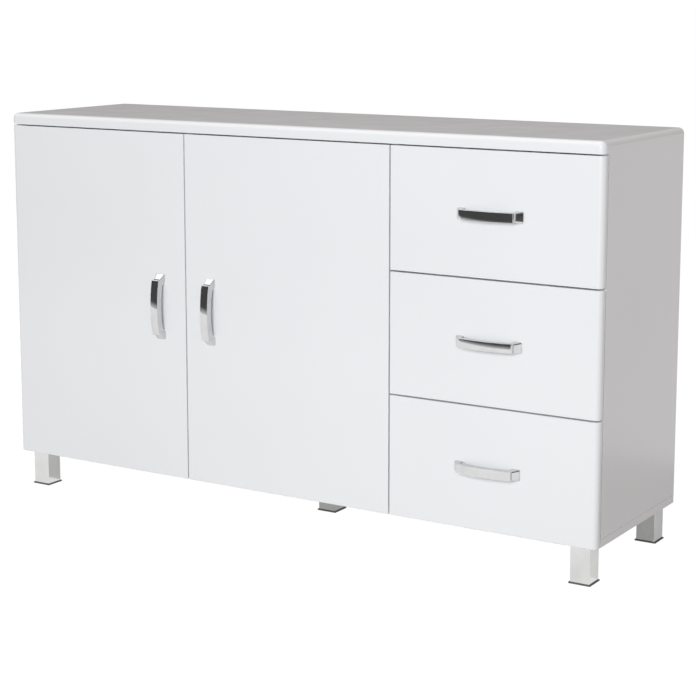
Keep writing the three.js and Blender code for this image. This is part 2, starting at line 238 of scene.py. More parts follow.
def white_hardboard():
    """Thin hardboard under a thin coat of white, so that the fibres still show."""
    material, tree, shader = start_material("white_hardboard")
    fibres = grain(tree, 260.0, 5.0, (1.0, 1.0, 0.35))
    colour(tree, shader, tones(tree, fibres, (0.70, 0.685, 0.655), (0.80, 0.79, 0.77)))
    roughness(tree, shader, spread(tree, grain(tree, 45.0, 3.0), 0.55, 0.75))
    relief(tree, shader, fibres, 0.12 * MM, 0.5)
    return material


def handle_chrome():
    """Polished chrome plate on a casting: a mirror with the slightest waviness."""
    material, tree, shader = start_material("handle_chrome", 1.0)
    colour(tree, shader, tones(tree, grain(tree, 30.0), (0.60, 0.60, 0.60), (0.66, 0.66, 0.66)))
    roughness(tree, shader, spread(tree, grain(tree, 90.0, 3.0), 0.035, 0.085))
    relief(tree, shader, grain(tree, 70.0, 1.0), 0.03 * MM, 0.25)
    return material


def leg_chrome():
    """Chromed tube, softly polished along its length."""
    material, tree, shader = start_material("leg_chrome", 1.0)
    colour(tree, shader, tones(tree, grain(tree, 18.0), (0.62, 0.618, 0.612), (0.70, 0.698, 0.692)))
    polish = grain(tree, 160.0, 4.0, (1.0, 1.0, 0.12))
    roughness(tree, shader, spread(tree, polish, 0.10, 0.19))
    relief(tree, shader, polish, 0.01 * MM, 0.3)
    return material


def nickel():
    """Nickel-plated pressed steel of the hinges and screws."""
    material, tree, shader = start_material("nickel", 1.0)
    colour(tree, shader, tones(tree, grain(tree, 120.0, 3.0), (0.54, 0.535, 0.52), (0.64, 0.635, 0.62)))
    roughness(tree, shader, spread(tree, grain(tree, 300.0, 4.0), 0.22, 0.36))
    relief(tree, shader, grain(tree, 500.0, 2.0), 0.02 * MM, 0.3)
    return material


def coated_steel():
    """Powder-coated steel profile: satin white with a fine stipple."""
    material, tree, shader = start_material("coated_steel")
    colour(tree, shader, tones(tree, grain(tree, 40.0), (0.79, 0.79, 0.77), (0.84, 0.84, 0.82)))
    roughness(tree, shader, spread(tree, grain(tree, 200.0, 3.0), 0.34, 0.48))
    relief(tree, shader, grain(tree, 1400.0, 2.0), 0.05 * MM, 0.5)
    return material


def dark_plastic():
    """Moulded dark plastic with a spark-eroded surface."""
    material, tree, shader = start_material("dark_plastic")
    colour(tree, shader, tones(tree, grain(tree, 150.0, 3.0), (0.085, 0.085, 0.085), (0.125, 0.125, 0.12)))
    roughness(tree, shader, spread(tree, grain(tree, 400.0, 3.0), 0.45, 0.62))
    relief(tree, shader, grain(tree, 1500.0, 2.0), 0.05 * MM, 0.6)
    return material


FINISHES = {
    "white_lacquer": white_lacquer(),
    "white_melamine": white_melamine(),
    "white_hardboard": white_hardboard(),
    "handle_chrome": handle_chrome(),
    "leg_chrome": leg_chrome(),
    "nickel": nickel(),
    "coated_steel": coated_steel(),
    "black_plastic": dark_plastic(),
}


# ---------------------------------------------------------------- mesh helpers
WELD = 0.002 * MM  # points closer than this become one


def arc(centre, radius, start, end, steps):
    """Points on a circle arc, angles in degrees."""
    angles = [math.radians(start + (end - start) * i / steps) for i in range(steps + 1)]
    return [(centre[0] + radius * math.cos(a), centre[1] + radius * math.sin(a)) for a in angles]


def quarter_round(radius, steps):
    """Inset and rise of each ring of a rounded edge, starting on the face below it."""
    for i in range(steps + 1):
        angle = math.pi / 2 * i / steps
        yield radius * (1 - math.sin(angle)), radius * (1 - math.cos(angle))


def mesh_from(name, bm):
    mesh = bpy.data.meshes.new(name)
    bm.to_mesh(mesh)
    bm.free()
    return mesh


def loft(name, rings):
    """A closed solid through rings of points, all with the same count, with a face on each end."""
    bm = bmesh.new()
    rows = [[bm.verts.new(point) for point in ring] for ring in rings]
    count = len(rows[0])
    for row, following in zip(rows, rows[1:]):
        for i in range(count):
            j = (i + 1) % count
            bm.faces.new((row[i], row[j], following[j], following[i]))
    bm.faces.new(reversed(rows[0]))
    bm.faces.new(rows[-1])
    bmesh.ops.remove_doubles(bm, verts=bm.verts, dist=WELD)
    bmesh.ops.recalc_face_normals(bm, faces=bm.faces)
    return mesh_from(name, bm)


def prism(name, outline, start, end, axis="Y"):
    """An outline carried from start to end along an axis; the outline's own two axes are the others."""
    turn = {
        "X": lambda u, v, w: (w, u, v),
        "Y": lambda u, v, w: (u, w, v),
        "Z": lambda u, v, w: (u, v, w),
    }[axis]
    return loft(name, [[turn(u, v, w) for u, v in outline] for w in (start, end)])


def block(name, low, high):
    """A box-shaped cutter between two corners."""
    outline = [(low[0], low[1]), (high[0], low[1]), (high[0], high[1]), (low[0], high[1])]
    return prism(name, outline, low[2], high[2], "Z")


def merged_copy(node):
    """The node's own mesh as a new one, merged, with its flat faces whole."""
    bm = bmesh.new()
    bm.from_mesh(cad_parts[node].data)
    bmesh.ops.remove_doubles(bm, verts=bm.verts, dist=0.01 * MM)
    bmesh.ops.dissolve_limit(bm, angle_limit=math.radians(0.5), verts=bm.verts, edges=bm.edges)
    return mesh_from(node, bm)


def new_object(name, mesh):
    obj = bpy.data.objects.new(name, mesh)
    scene.collection.objects.link(obj)
    return obj


def applied(obj):
    """Turns what the modifiers make into the object's plain mesh."""
    depsgraph = bpy.context.evaluated_depsgraph_get()
    mesh = bpy.data.meshes.new_from_object(obj.evaluated_get(depsgraph))
    obj.modifiers.clear()
    obj.data = mesh
    return obj


def combined(mesh, tools, operation):
    """The mesh with each tool cut away, joined on or kept in common."""
    obj = new_object("blank", mesh)
    helpers = [new_object("tool", tool) for tool in tools]
    for helper in helpers:
        modifier = obj.modifiers.new("combine", "BOOLEAN")
        modifier.operation = operation
        modifier.solver = "EXACT"
        modifier.object = helper
    result = applied(obj).data
    for extra in [obj, *helpers]:
        bpy.data.objects.remove(extra)
    bm = bmesh.new()
    bm.from_mesh(result)
    bmesh.ops.remove_doubles(bm, verts=bm.verts, dist=WELD)
    bmesh.ops.dissolve_limit(bm, angle_limit=math.radians(0.3), verts=bm.verts, edges=bm.edges)
    bm.to_mesh(result)
    bm.free()
    return result


def mark_soft_edges(mesh, wanted):
    """Gives the sharp edges that are wanted a bevel weight, by the middle of the edge."""
    bm = bmesh.new()
    bm.from_mesh(mesh)
    weights = bm.edges.layers.float.new("bevel_weight_edge")
    for edge in bm.edges:
        middle = (edge.verts[0].co + edge.verts[1].co) / 2
        sharp = len(edge.link_faces) == 2 and edge.calc_face_angle() > math.radians(50)
        if sharp and wanted(middle):
            edge[weights] = 1.0
    bm.to_mesh(mesh)
    bm.free()


def shade(obj, bevel=0.0, steps=3, weighted=False):
    """Eases the sharp edges and keeps flat faces flat under smooth shading."""
    obj.data.shade_smooth()
    if not bevel or weighted:
        obj.data.set_sharp_from_angle(angle=SHARP_ANGLE)
    if bevel:
        modifier = obj.modifiers.new("eased edges", "BEVEL")
        modifier.width = bevel
        modifier.segments = steps
        modifier.limit_method = "WEIGHT" if weighted else "ANGLE"
        modifier.angle_limit = SHARP_ANGLE
        modifier.use_clamp_overlap = True
    normals = obj.modifiers.new("flat faces", "WEIGHTED_NORMAL")
    normals.keep_sharp = True
    normals.weight = 50


def place(name, mesh, body, slot, replaced=(), **edges):
    """A finished piece: its mesh, its material, the body it rides on and the nodes it stands for."""
    obj = new_object(name, mesh)
    mesh.materials.clear()
    mesh.materials.append(FINISHES[slot])
    shade(obj, **edges)
    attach(obj, body)
    if replaced:
        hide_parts(*replaced)
    return obj


def refine(node, body, slot, bevel, steps=3):
    """Stands for a node with the same shape and eased edges."""
    return place(f"{node}_finished", merged_copy(node), body, slot, [node], bevel=bevel, steps=steps)


# ---------------------------------------------------------------- case
top_low, top_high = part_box("top_panel")
side_low, side_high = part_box("side_panel_right")
back_low, back_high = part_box("back_panel_left")
bottom_low, bottom_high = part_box("bottom_panel")
inner_x = side_low.x
outer_x = top_high.x
ceiling_z = top_low.z
BOARD_EASE = 0.5 * MM
NEAR = 0.1 * MM  # what counts as lying on a face


def eased_rim(low, high):
    """Inset and height of each ring from the lower eased edge to the upper rounded one."""
    for inset, rise in quarter_round(EASED_RADIUS, EASED_STEPS):
        yield inset, low + rise
    for fall, inset in quarter_round(EDGE_RADIUS, ROUND_STEPS):
        yield inset, high - fall


def mitre_tool(sign, keep):
    """Cuts the corner joint between the top and a side; keep says which of them stays.

    Away from the joint the cutter reaches well past both boards.
    """
    slope = (outer_x - inner_x) / (top_high.z - ceiling_z)
    below, above = ceiling_z - 1 * MM, top_high.z + 20 * MM
    shift = JOINT_LINE if keep == "side" else 0.0
    line = [inner_x + shift + slope * (z - ceiling_z) for z in (below, above)]
    far = inner_x - 60 * MM if keep == "side" else outer_x + 40 * MM
    outline = [(sign * line[0], below), (sign * far, below), (sign * far, above), (sign * line[1], above)]
    front = side_low.y - (JOINT_LINE if keep == "top" else 5 * MM)
    return prism("mitre", outline, front, side_high.y + 5 * MM)


def back_groove():
    """The groove that the back panels slide into, in the top, the sides and the bottom."""
    low = (-inner_x - GROOVE_DEPTH, back_low.y - CONTACT, bottom_high.z - GROOVE_DEPTH)
    high = (inner_x + GROOVE_DEPTH, back_high.y + CONTACT, ceiling_z + GROOVE_DEPTH)
    return block("groove", low, high)


def rear_edge(middle):
    return middle.y > side_high.y - NEAR


def make_top():
    """Slab with a rounded front and ends; the corners are parts of a sphere."""
    front_y = top_low.y + EDGE_RADIUS
    corner_x = outer_x - EDGE_RADIUS
    rings = []
    for inset, z in eased_rim(top_low.z, top_high.z):
        radius = EDGE_RADIUS - inset
        left = arc((-corner_x, front_y), radius, 180, 270, ROUND_STEPS)
        right = arc((corner_x, front_y), radius, 270, 360, ROUND_STEPS)
        outline = [(-outer_x + inset, top_high.y), *left, *right, (outer_x - inset, top_high.y)]
        rings.append([(x, y, z) for x, y in outline])
    tools = [mitre_tool(-1, "top"), mitre_tool(1, "top"), back_groove()]
    mesh = combined(loft("top", rings), tools, "DIFFERENCE")
    mark_soft_edges(mesh, rear_edge)
    place("top_board", mesh, "case", "white_lacquer", ["top_panel"], bevel=BOARD_EASE, weighted=True)


def make_side(sign, side):
    """Board with the lower part of the rounded corner, on the bottom board."""
    corner = arc((outer_x - EDGE_RADIUS, top_high.z - EDGE_RADIUS), EDGE_RADIUS, 0, 90, ROUND_STEPS)
    outline = [(inner_x, side_low.z), (outer_x, side_low.z), *corner, (inner_x, top_high.z)]
    blank = prism("side", [(sign * x, z) for x, z in outline], side_low.y, side_high.y)
    mesh = combined(blank, [mitre_tool(sign, "side"), back_groove()], "DIFFERENCE")
    mark_soft_edges(mesh, lambda middle: rear_edge(middle) or middle.z < side_low.z + NEAR)
    place(f"side_board_{side}", mesh, "case", "white_lacquer", [f"side_panel_{side}"],
          bevel=BOARD_EASE, weighted=True)


def make_case():
    make_top()
    make_side(-1, "left")
    make_side(1, "right")
    refine("bottom_panel", "case", "white_lacquer", bevel=0.6 * MM)
    for node in ("partition_middle", "partition_right", "shelf_left", "shelf_right"):
        refine(node, "case", "white_melamine", bevel=BOARD_EASE)
    for node in ("back_panel_left", "back_panel_right", "back_joining_strip"):
        refine(node, "case", "white_hardboard", bevel=0.2 * MM, steps=2)


# ---------------------------------------------------------------- fronts
def front_mesh(name, low, high, outer):
    """A front with eased edges all round and one widely rounded outer edge, if it has one."""
    radii = {"left": (EDGE_RADIUS, SEAM_RADIUS), "right": (SEAM_RADIUS, EDGE_RADIUS)}
    left, right = radii.get(outer, (SEAM_RADIUS, SEAM_RADIUS))
    corners = [
        (low.x, low.y, 1, 1, left, 180),
        (high.x, low.y, -1, 1, right, 270),
        (high.x, high.y, -1, -1, REAR_RADIUS, 0),
        (low.x, high.y, 1, -1, REAR_RADIUS, 90),
    ]
    rim = list(quarter_round(EASED_RADIUS, EASED_STEPS))
    levels = [(inset, low.z + rise) for inset, rise in rim]
    levels += [(inset, high.z - rise) for inset, rise in reversed(rim)]
    rings = []
    for inset, z in levels:
        ring = []
        for x, y, way_x, way_y, radius, start in corners:
            steps = ROUND_STEPS if radius > EASED_RADIUS else EASED_STEPS
            shift = max(radius, inset)
            centre = (x + way_x * shift, y + way_y * shift)
            ring += [(u, v, z) for u, v in arc(centre, shift - inset, start, start + 90, steps)]
        rings.append(ring)
    return loft(name, rings)


def cup_pocket(side, level):
    """The bored hole for a hinge cup."""
    low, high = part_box(f"door_{side}_hinge_cup_{level}")
    centre = (low + high) / 2
    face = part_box(f"door_{side}_panel")[1].y
    last = 360 - 360 / CUP_SIDES
    outline = arc((centre.x, centre.z), CUP_RADIUS, 0, last, CUP_SIDES - 1)
    return prism("pocket", outline, face - CUP_DEPTH, face + 1 * MM)


def make_door(side):
    """A leaf with bored holes for its cups; the left door's outer edge is rounded like the case."""
    name = f"door_{side}"
    low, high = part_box(f"{name}_panel")
    blank = front_mesh(name, low, high, "left" if side == "left" else None)
    mesh = combined(blank, [cup_pocket(side, level) for level in HINGE_LEVELS], "DIFFERENCE")
    place(f"{name}_leaf", mesh, name, "white_lacquer", [f"{name}_panel"])


def make_drawer(level):
    """A face with a rounded right edge, and the box behind it."""
    name = f"drawer_{level}"
    low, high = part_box(f"{name}_front")
    mesh = front_mesh(name, low, high, "right")
    place(f"{name}_face", mesh, name, "white_lacquer", [f"{name}_front"])
    for part in ("side_left", "side_right", "back"):
        refine(f"{name}_{part}", name, "white_melamine", bevel=0.6 * MM)
    refine(f"{name}_bottom", name, "white_hardboard", bevel=0.2 * MM, steps=2)


# ---------------------------------------------------------------- handles
def bow(half_length, end_height, middle_height):
    """Points of the arc over the handle, from one end to the other."""
    rise = middle_height - end_height
    radius = (half_length ** 2 + rise ** 2) / (2 * rise)
    half_angle = math.asin(half_length / radius)
    angles = [half_angle * (2 * i / BOW_STEPS - 1) for i in range(BOW_STEPS + 1)]
    return [(radius * math.sin(a), middle_height - radius * (1 - math.cos(a))) for a in angles]


def handle_outline(half, projection, drop):
    """Side view of the bow with its two posts, as (along, out) points; drop lowers its outer face."""
    end = half - FOOT_LENGTH + FOOT_SLANT
    gap_end = end - POST_LENGTH
    end_height = BAR_END_HEIGHT - drop
    r = BAR_SHOULDER
    shoulder = arc((-end + r, end_height - r), r, 180, 98, CORNER_STEPS)
    outer = [p for p in bow(end, end_height, projection - drop) if abs(p[0]) < end - r]
    inner = bow(gap_end, BAR_END_HEIGHT - BAR_DEPTH, projection - BAR_DEPTH)
    mirrored = [(-u, v) for u, v in reversed(shoulder)]
    return [(-end, CONTACT), *shoulder, *outer, *mirrored, (end, CONTACT), (gap_end, CONTACT),
            *reversed(inner), (-gap_end, CONTACT)]


def bar_mesh(name, half, projection):
    """The bow, slightly crowned across its width."""
    rings = []
    for i in range(CROWN_STEPS + 1):
        share = 2 * i / CROWN_STEPS - 1
        outline = handle_outline(half, projection, BAR_CROWN * share ** 2)
        rings.append([(u, -v, share * BAR_WIDTH / 2) for u, v in outline])
    return loft(name, rings)


def foot_mesh(sign, half, width):
    """The foot beyond a post: rounded in plan, with a sloping end above an upright rim."""
    inside = half - FOOT_LENGTH + FOOT_SLANT - POST_LENGTH / 2
    r = FOOT_CORNER
    rings = []
    for height, drawn in ((FOOT_BASE, 0.0), (FOOT_RIM, 0.0), (FOOT_HEIGHT, 1.0)):
        end = half - FOOT_SLOPE * drawn
        reach = width / 2 - FOOT_CHEEK * drawn
        lower = arc((end - r, -reach + r), r, 270, 360, CORNER_STEPS)
        upper = arc((end - r, reach - r), r, 0, 90, CORNER_STEPS)
        outline = [(inside, -reach), *lower, *upper, (inside, reach)]
        rings.append([(sign * u, -height, w) for u, w in outline])
    return loft("foot", rings)


def make_handle(body, upright):
    """A bowed chrome bar on two posts with wider feet, upright on a door, level on a drawer."""
    node = f"{body}_handle"
    low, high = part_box(node)
    centre = (low + high) / 2
    along = 2 if upright else 0
    half = (high[along] - low[along]) / 2
    foot_width = high[2 - along] - low[2 - along]
    face = high.y + CONTACT
    matrix = Matrix.Translation((centre.x, face, centre.z))
    if upright:
        matrix = matrix @ Matrix.Rotation(math.pi / 2, 4, "Y")
    feet = [foot_mesh(sign, half, foot_width) for sign in (-1, 1)]
    mesh = combined(bar_mesh(node, half, face - low.y), feet, "UNION")
    mesh.transform(matrix)
    place(f"{body}_pull", mesh, body, "handle_chrome", [node], bevel=1.1 * MM, steps=4)


# ---------------------------------------------------------------- legs
def make_legs():
    for leg in ("front_left", "front_right", "rear_left", "rear_right", "middle"):
        refine(f"leg_{leg}", "case", "leg_chrome", bevel=0.4 * MM)
        refine(f"foot_plate_{leg}", "case", "black_plastic", bevel=0.5 * MM)


# ---------------------------------------------------------------- runners and hinges
def make_runners(level):
    """The profile on each side of a drawer box, with its leg inside the rail."""
    body = f"drawer_{level}"
    for side, sign in (("left", -1), ("right", 1)):
        refine(f"rail_{level}_{side}", "case", "coated_steel", bevel=0.35 * MM, steps=2)
        low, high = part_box(f"{body}_side_{side}")
        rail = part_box(f"rail_{level}_{side}")[0]
        face = (low.x if side == "left" else high.x) + sign * RUNNER_GAP
        web, tip = face + sign * RUNNER_SHEET, face + sign * RUNNER_LEG
        base = rail.z + RUNNER_LIFT
        leg_top = base + RUNNER_HEIGHT
        leg_base = leg_top - RUNNER_LEG_SHEET
        outline = [(face, base), (web, base), (web, leg_base), (tip, leg_base)]
        outline += [(tip, leg_top), (face, leg_top)]
        mesh = prism("runner", outline, low.y + RUNNER_FRONT_INSET, high.y - RUNNER_REAR_INSET)
        place(f"{body}_runner_{side}", mesh, body, "coated_steel", bevel=0.15 * MM, steps=2)


def make_hinges(side):
    for level in HINGE_LEVELS:
        refine(f"door_{side}_hinge_cup_{level}", f"door_{side}", "nickel", bevel=0.35 * MM, steps=2)
        refine(f"door_{side}_hinge_arm_{level}", "case", "nickel", bevel=1.0 * MM, steps=3)


# ---------------------------------------------------------------- repeated fittings
def turned(name, profile, sides, star=()):
    """A small turned part, one unit across and standing on its base; star rings are crossed."""
    rings = []
    for index, (radius, height) in enumerate(profile):
        ring = []
        for i in range(sides):
            angle = FULL_TURN * i / sides
            reach = radius
            if index in star:
                on_arm = i % (sides // 4) in (0, 1, sides // 4 - 1)
                reach = radius if on_arm else radius * 0.38
            ring.append((reach * math.cos(angle), reach * math.sin(angle), height))
        rings.append(ring)
    obj = new_object(name, loft(name, rings))
    obj.hide_render = True
    return obj


# Outline of each pattern as (radius, height), the count of its sides, and which rings are crossed
PATTERNS = {
    "screw": ([(0.47, 0), (0.5, 0.05), (0.46, 0.16), (0.36, 0.23), (0.27, 0.26), (0.22, 0.1)],
              24, (4, 5)),
    "pin": ([(0.7, 0), (0.7, 0.2), (0.62, 0.26), (0.5, 0.27), (0.5, 1.5), (0.42, 1.65), (0.2, 1.7)],
            16, ()),
    "sleeve": ([(0.5, 0), (0.5, 0.04), (0.46, 0.06), (0.38, 0.05), (0.34, 0.01)], 10, ()),
    "cap": ([(0.5, 0), (0.5, 0.03), (0.47, 0.05), (0.3, 0.065), (0.1, 0.07)], 20, ()),
    "bumper": ([(0.5, 0), (0.5, 0.6), (0.44, 0.85), (0.3, 0.97), (0.12, 1.0)], 16, ()),
    "roller": ([(0.3, 0), (0.46, 0.02), (0.5, 0.12), (0.5, 0.88), (0.46, 0.98), (0.24, 1.0),
                (0.24, 0.8), (0.12, 0.8), (0.12, 1.0), (0.05, 1.02)], 24, ()),
}


def fittings_tree():
    """Puts a pattern on every point, turned to the point's facing and given its own spin."""
    tree = bpy.data.node_groups.new("placed_fittings", "GeometryNodeTree")
    inputs = (
        ("Geometry", "Geometry"),
        ("Pattern", "Object"),
        ("Diameter", "Float"),
        ("Height", "Float"),
        ("Spin", "Float"),
        ("Finish", "Material"),
    )
    for name, kind in inputs:
        tree.interface.new_socket(name, in_out="INPUT", socket_type=f"NodeSocket{kind}")
    tree.interface.new_socket("Geometry", in_out="OUTPUT", socket_type="NodeSocketGeometry")
    node = tree.nodes.new
    link = tree.links.new
    given = node("NodeGroupInput")
    pattern = node("GeometryNodeObjectInfo")
    facing = node("GeometryNodeInputNamedAttribute")
    facing.data_type = "FLOAT_VECTOR"
    facing.inputs["Name"].default_value = "facing"
    align = node("FunctionNodeAlignRotationToVector")
    align.axis = "Z"
    chance = node("FunctionNodeRandomValue")
    chance.data_type = "FLOAT"
    chance.inputs["Seed"].default_value = 7
    spin = node("ShaderNodeCombineXYZ")
    own_turn = node("FunctionNodeRotateRotation")
    own_turn.rotation_space = "LOCAL"
    euler = node("FunctionNodeEulerToRotation")
    size = node("ShaderNodeCombineXYZ")
    copies = node("GeometryNodeInstanceOnPoints")
    real = node("GeometryNodeRealizeInstances")
    coat = node("GeometryNodeSetMaterial")
    result = node("NodeGroupOutput")
    link(given.outputs["Pattern"], pattern.inputs["Object"])
    link(facing.outputs["Attribute"], align.inputs["Vector"])
    link(given.outputs["Spin"], chance.inputs[3])
    link(chance.outputs[1], spin.inputs["Z"])
    link(spin.outputs["Vector"], euler.inputs["Euler"])
    link(align.outputs["Rotation"], own_turn.inputs["Rotation"])
    link(euler.outputs["Rotation"], own_turn.inputs["Rotate By"])
    link(given.outputs["Diameter"], size.inputs["X"])
    link(given.outputs["Diameter"], size.inputs["Y"])
    link(given.outputs["Height"], size.inputs["Z"])
    link(given.outputs["Geometry"], copies.inputs["Points"])
    link(pattern.outputs["Geometry"], copies.inputs["Instance"])
    link(own_turn.outputs["Rotation"], copies.inputs["Rotation"])
    link(size.outputs["Vector"], copies.inputs["Scale"])
    link(copies.outputs["Instances"], real.inputs["Geometry"])
    link(real.outputs["Geometry"], coat.inputs["Geometry"])
    link(given.outputs["Finish"], coat.inputs["Material"])
    link(coat.outputs["Geometry"], result.inputs["Geometry"])
    return tree


def fit(name, tree, pattern, body, slot, spots, diameter, height=None, spin=0.0):
    """One mesh of equal fittings; spots are (point, direction that the fitting faces)."""
    mesh = bpy.data.meshes.new(name)
    mesh.from_pydata([tuple(point) for point, _ in spots], [], [])
    facing = mesh.attributes.new("facing", "FLOAT_VECTOR", "POINT")
    facing.data.foreach_set("vector", [value for _, way in spots for value in way])
    obj = new_object(name, mesh)
    values = {
        "Pattern": pattern,
        "Diameter": diameter,
        "Height": diameter if height is None else height,
        "Spin": spin,
        "Finish": FINISHES[slot],
    }
    modifier = obj.modifiers.new("fittings", "NODES")
    modifier.node_group = tree
    for socket in tree.interface.items_tree:
        if socket.in_out == "INPUT" and socket.name in values:
            modifier[socket.identifier] = values[socket.name]
    applied(obj)
    obj.data.shade_smooth()
    obj.data.set_sharp_from_angle(angle=SHARP_ANGLE)
    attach(obj, body)


def handle_spots(body, upright):
    """Screw heads on the inner face of a front, behind the two posts."""
    low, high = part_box(f"{body}_handle")
    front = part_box(f"{body}_panel" if upright else f"{body}_front")
    centre = (low + high) / 2
    along = 2 if upright else 0
    reach = (high[along] - low[along]) / 2 - FOOT_LENGTH + FOOT_SLANT - POST_LENGTH / 2
    spots = []
    for sign in (-1, 1):
        point = Vector((centre.x, front[1].y, centre.z))
        point[along] += sign * reach
        spots.append((point, (0, 1, 0)))
    return spots


def cup_spots(side):
    """Screws on the flange of each cup, above and below it."""
    spots = []
    for level in HINGE_LEVELS:
        low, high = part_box(f"door_{side}_hinge_cup_{level}")
        centre = (low + high) / 2
        for sign in (-1, 1):
            spots.append(((centre.x, high.y, centre.z + sign * CUP_SCREW_REACH), (0, 1, 0)))
    return spots


def arm_spots(side):
    """Screws of the mounting plates, and the two adjusting screws on each arm."""
    inward = 1 if side == "left" else -1
    plate, adjusters = [], []
    for level in HINGE_LEVELS:
        low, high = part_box(f"door_{side}_hinge_arm_{level}")
        centre = (low + high) / 2
        wall, top = (low.x, high.x) if side == "left" else (high.x, low.x)
        face = wall + inward * PLATE_THICKNESS
        for sign in (-1, 1):
            plate.append(((face, centre.y, centre.z + sign * PLATE_SCREW_REACH), (inward, 0, 0)))
            adjusters.append(((top, centre.y + sign * ADJUSTER_REACH, centre.z), (inward, 0, 0)))
    return plate, adjusters


def wall_columns():
    """Faces of the two door compartments as (x, facing), with the two hole columns in Y."""
    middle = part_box("partition_middle")
    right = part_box("partition_right")
    faces = [(-inner_x, 1), (middle[0].x, -1), (middle[1].x, 1), (right[0].x, -1)]
    columns = [side_low.y + PIN_COLUMN_INSET, back_low.y - PIN_COLUMN_INSET]
    return faces, columns


def shelf_spots():
    """Pins under the shelves, and the sleeved holes above and below them."""
    faces, columns = wall_columns()
    pin_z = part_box("shelf_left")[0].z - PIN_DIAMETER / 2
    pins, sleeves = [], []
    for x, way in faces:
        for y in columns:
            pins.append(((x, y, pin_z), (way, 0, 0)))
            for step in SLEEVE_STEPS:
                sleeves.append(((x, y, pin_z + step * PIN_PITCH), (way, 0, 0)))
    return pins, sleeves


def cap_spots():
    """Cover caps of the fittings that hold the partitions, near their upper and lower ends."""
    spots = []
    for node in ("partition_middle", "partition_right"):
        low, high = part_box(node)
        for y in (low.y + CAP_INSET_Y, high.y - CAP_INSET_Y):
            for z in (low.z + CAP_INSET_Z, high.z - CAP_INSET_Z):
                spots.append(((low.x, y, z), (-1, 0, 0)))
    return spots


def rail_spots(level):
    """Screws in the web of each rail, its front roller, and the rear roller of each runner."""
    screws, rollers, riders = [], [], []
    for side, inward in (("left", 1), ("right", -1)):
        low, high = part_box(f"rail_{level}_{side}")
        box_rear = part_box(f"drawer_{level}_side_{side}")[1].y
        wall = low.x if side == "left" else high.x
        web = wall + inward * RAIL_SHEET
        start = wall + inward * ROLLER_OFFSET
        axle_z = low.z + ROLLER_RISE
        for y in (low.y + RAIL_SCREW_FRONT, high.y - RAIL_SCREW_REAR):
            screws.append(((web, y, (low.z + high.z) / 2), (inward, 0, 0)))
        rollers.append(((start, low.y + ROLLER_INSET, axle_z), (inward, 0, 0)))
        riders.append(((start, box_rear - ROLLER_INSET, axle_z), (inward, 0, 0)))
    return screws, rollers, riders


def bumper_spots(node, edges):
    """Pads on the inner face of a front, against the edges of the case."""
    low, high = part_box(node)
    heights = (low.z + BUMPER_INSET, high.z - BUMPER_INSET)
    return [((x, high.y, z), (0, 1, 0)) for x in edges for z in heights]


def box_spots(level):
    """Screws through the drawer sides into the back."""
    spots = []
    for side, outward in (("left", -1), ("right", 1)):
        low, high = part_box(f"drawer_{level}_side_{side}")
        face = low.x if side == "left" else high.x
        for rise in BOX_SCREW_RISES:
            spots.append(((face, high.y - BOX_SCREW_INSET, low.z + rise), (outward, 0, 0)))
    return spots


def make_fittings():
    """All screws, rollers, pins, sleeves, caps and bumpers, one mesh of each kind on each body."""
    tree = fittings_tree()
    patterns = {name: turned(f"pattern_{name}", *shape) for name, shape in PATTERNS.items()}

    def put(name, pattern, body, slot, spots, diameter, height=None):
        fit(name, tree, patterns[pattern], body, slot, spots, diameter, height)

    def screws(name, body, spots, diameter):
        fit(name, tree, patterns["screw"], body, "nickel", spots, diameter, spin=FULL_TURN)

    def rollers(name, body, spots):
        put(name, "roller", body, "black_plastic", spots, ROLLER_DIAMETER, ROLLER_WIDTH)

    def bumpers(body, node, edges):
        spots = bumper_spots(node, edges)
        put(f"{body}_bumpers", "bumper", body, "white_melamine", spots, BUMPER_DIAMETER, BUMPER_THICKNESS)

    in_case, adjusting, on_rails = [], [], []
    for side in SIDES:
        body = f"door_{side}"
        in_plates, on_arms = arm_spots(side)
        in_case += in_plates
        adjusting += on_arms
        screws(f"{body}_handle_screws", body, handle_spots(body, True), HANDLE_SCREW)
        screws(f"{body}_cup_screws", body, cup_spots(side), BOARD_SCREW)
    for level in LEVELS:
        body = f"drawer_{level}"
        in_rails, fixed, riders = rail_spots(level)
        in_case += in_rails
        on_rails += fixed
        rollers(f"{body}_rollers", body, riders)
        screws(f"{body}_handle_screws", body, handle_spots(body, False), HANDLE_SCREW)
        screws(f"{body}_box_screws", body, box_spots(level), BOX_SCREW)
        inner_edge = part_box(f"{body}_front")[0].x
        bumpers(body, f"{body}_front", (inner_edge + BUMPER_REACH, inner_x + SIDE_BUMPER_REACH))
    for side in SIDES:
        low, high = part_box(f"door_{side}_panel")
        edge = high.x - BUMPER_REACH if side == "left" else low.x + BUMPER_REACH
        bumpers(f"door_{side}", f"door_{side}_panel", [edge])
    pins, sleeves = shelf_spots()
    screws("case_screws", "case", in_case, BOARD_SCREW)
    screws("hinge_adjusters", "case", adjusting, ADJUSTER_SCREW)
    rollers("rail_rollers", "case", on_rails)
    put("shelf_pins", "pin", "case", "nickel", pins, PIN_DIAMETER)
    put("pin_sleeves", "sleeve", "case", "black_plastic", sleeves, PIN_DIAMETER)
    put("cover_caps", "cap", "case", "white_melamine", cap_spots(), CAP_DIAMETER)
    for template in patterns.values():
        bpy.data.objects.remove(template)


# ---------------------------------------------------------------- studio
GREY = (0.2, 0.2, 0.2)
FLOOR_HALF = 2500.0
BACKDROP_HEIGHT = 3.2
DARK_REFLECTION_HEIGHT = 2.6
REAR_DARK_REFLECTION_HEIGHT = 1.7
CEILING_HEIGHT = 3.3
SHADE_LIFT = 1 * MM
SHADE_INSET = 0.03
